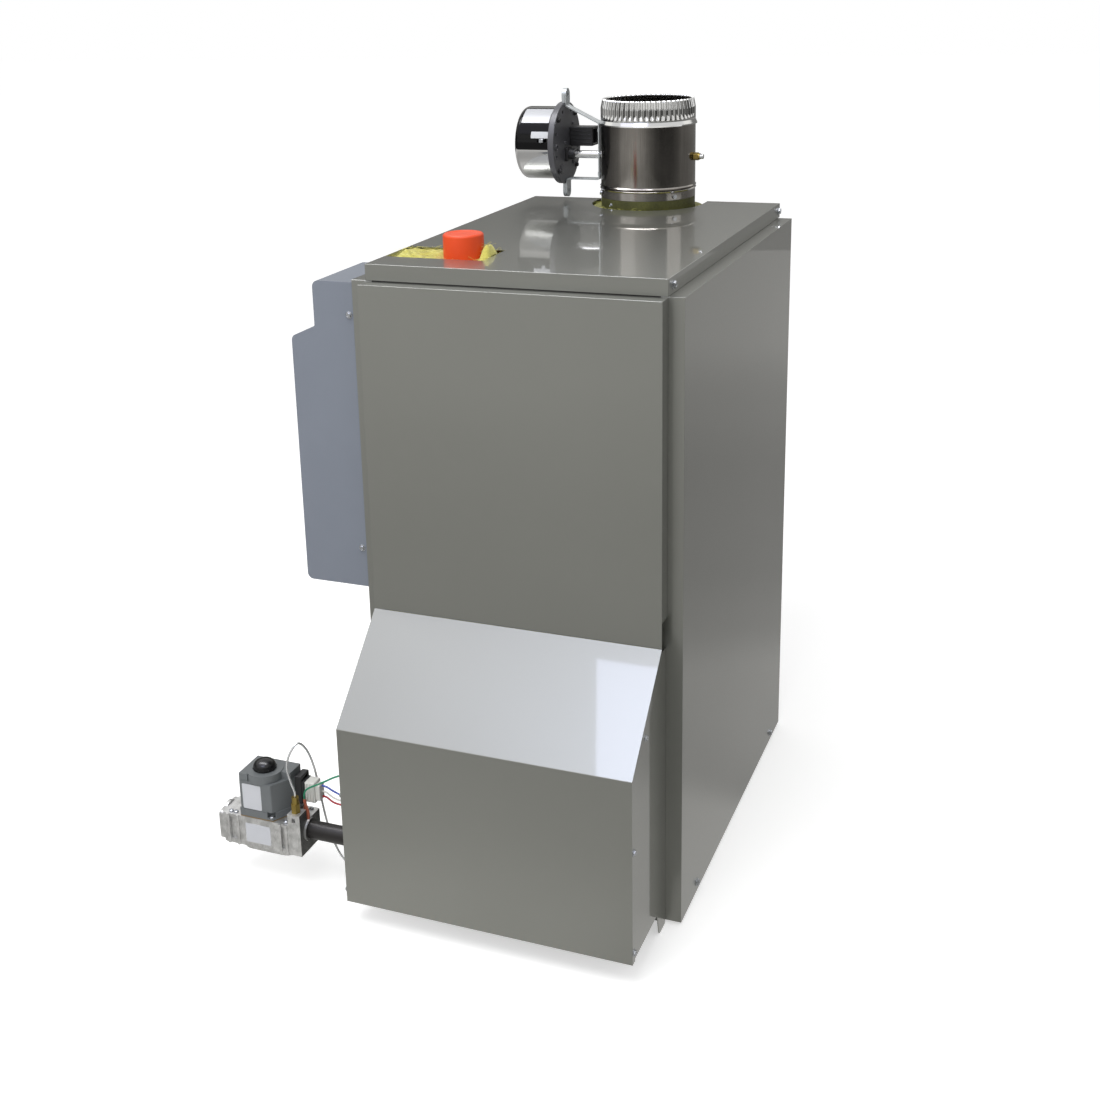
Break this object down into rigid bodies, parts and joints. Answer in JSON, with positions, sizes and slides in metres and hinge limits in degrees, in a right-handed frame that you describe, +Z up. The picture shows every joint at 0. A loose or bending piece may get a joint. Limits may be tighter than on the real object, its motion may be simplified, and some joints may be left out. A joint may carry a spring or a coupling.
{
  "type": "gas boiler",
  "caption": "Floor-standing cast-iron gas boiler in a sheet-metal jacket, with a projecting burner hood, a gas valve outside its left side and a motor-driven vent damper on top.",
  "frame": {"origin": "on the floor, under the centre of the top cover", "axes": "+X to the boiler's right as the viewer sees the front, +Y to its back, +Z up; the front faces -Y"},
  "size_m": [0.6756, 0.8606, 1.1011],
  "materials": {
    "jacket_paint": "metallic taupe enamel, semi-gloss",
    "control_plastic": "moulded blue-grey, satin",
    "base_paint": "dark grey paint, matt",
    "galvanised": "zinc coated, satin",
    "black_pipe": "black pipe varnish, semi-gloss",
    "cast_iron": "rough casting",
    "stainless": "rolled sheet",
    "vent_steel": "rolled stainless, mirror-like with brushed streaks",
    "bright_steel": "bright rolled steel",
    "fibre_board": "pressed fibre board",
    "glass_fibre": "yellow glass fibre",
    "screw_steel": "zinc plated",
    "cast_aluminium": "die cast, lightly blasted",
    "valve_plastic": "moulded blue-grey, satin",
    "gasket_fibre": "tan fibre sheet",
    "knob_plastic": "black moulding",
    "black_plastic": "black moulding",
    "white_nylon": "natural nylon",
    "brass": "machined brass",
    "tube_aluminium": "drawn tube",
    "green_wire": "wire insulation",
    "blue_wire": "wire insulation",
    "white_wire": "wire insulation",
    "red_wire": "wire insulation",
    "transformer_steel": "laminated steel",
    "circuit_board": "circuit board",
    "motor_chrome": "drawn and polished",
    "motor_paint": "dark grey paint, satin",
    "cap_plastic": "orange moulding, satin"
  },
  "bodies": {
    "boiler": {"base_frame": "base_paint", "base_insulation": "fibre_board", "burner_tubes": "stainless", "burner_rack": "galvanised", "gas_manifold": "black_pipe", "burner_orifices": "brass", "pilot_burner": "stainless", "ignition_module": "black_plastic", "valve_nipple": "black_pipe", "left_end_section": "cast_iron", "mid_sections": "cast_iron", "right_end_section": "cast_iron", "push_nipples": "stainless", "tie_rods": "screw_steel", "flue_canopy": "galvanised", "draft_hood": "galvanised", "limit_switches": "black_plastic", "supply_nipple": "black_pipe", "return_nipple": "black_pipe", "jacket_insulation": "glass_fibre", "left_side_panel": "jacket_paint", "right_side_panel": "jacket_paint", "back_panel": "jacket_paint", "top_cover": "jacket_paint", "jacket_screws": "screw_steel", "gas_valve_body": "cast_aluminium", "valve_gasket": "gasket_fibre", "gas_valve_cover": "valve_plastic", "valve_screws": "screw_steel", "valve_terminal_block": "black_plastic", "valve_plug": "white_nylon", "pilot_fitting": "brass", "pilot_tube": "tube_aluminium", "ground_wire": "green_wire", "blue_wire": "blue_wire", "white_wire": "white_wire", "red_wire": "red_wire", "control_box_base": "galvanised", "control_cover": "control_plastic", "transformer": "transformer_steel", "control_relay": "circuit_board", "control_screws": "screw_steel", "damper_pipe": "vent_steel", "crimped_collar": "bright_steel", "shaft_bushing": "brass", "motor_can": "motor_chrome", "motor_plate": "motor_paint", "motor_bracket": "galvanised", "damper_receptacle": "black_plastic", "damper_screws": "screw_steel"},
    "burner_hood": {"hood_front": "jacket_paint", "hood_side_left": "jacket_paint", "hood_side_right": "jacket_paint", "hood_screws": "screw_steel"},
    "front_cover": {"front_panel": "jacket_paint"},
    "pipe_cap": {"supply_cap": "cap_plastic"},
    "damper": {"damper_blade": "stainless", "damper_shaft": "bright_steel"},
    "gas_knob": {"valve_knob": "knob_plastic"},
    "hold_open": {"hold_open_switch": "screw_steel"}
  },
  "joints": [
    {"name": "hood_pull", "type": "slide", "parent": "boiler", "child": "burner_hood", "axis": [0, -1, 0], "range_m": [0, 0.2]},
    {"name": "panel_pull", "type": "slide", "parent": "boiler", "child": "front_cover", "axis": [0, -1, 0], "range_m": [0, 0.15]},
    {"name": "cap_lift", "type": "slide", "parent": "boiler", "child": "pipe_cap", "axis": [0, 0, 1], "range_m": [0, 0.06]},
    {"name": "damper_turn", "type": "hinge", "parent": "boiler", "child": "damper", "pos_m": [0, 0.2855, 0.994], "axis": [1, 0, 0], "range_deg": [0, 90]},
    {"name": "knob_turn", "type": "hinge", "parent": "boiler", "child": "gas_knob", "pos_m": [-0.371, -0.4075, 0.19], "axis": [0, 0, 1], "range_deg": [0, 90]},
    {"name": "switch_slide", "type": "slide", "parent": "boiler", "child": "hold_open", "axis": [1, 0, 0], "range_m": [0, 0.004]}
  ]
}
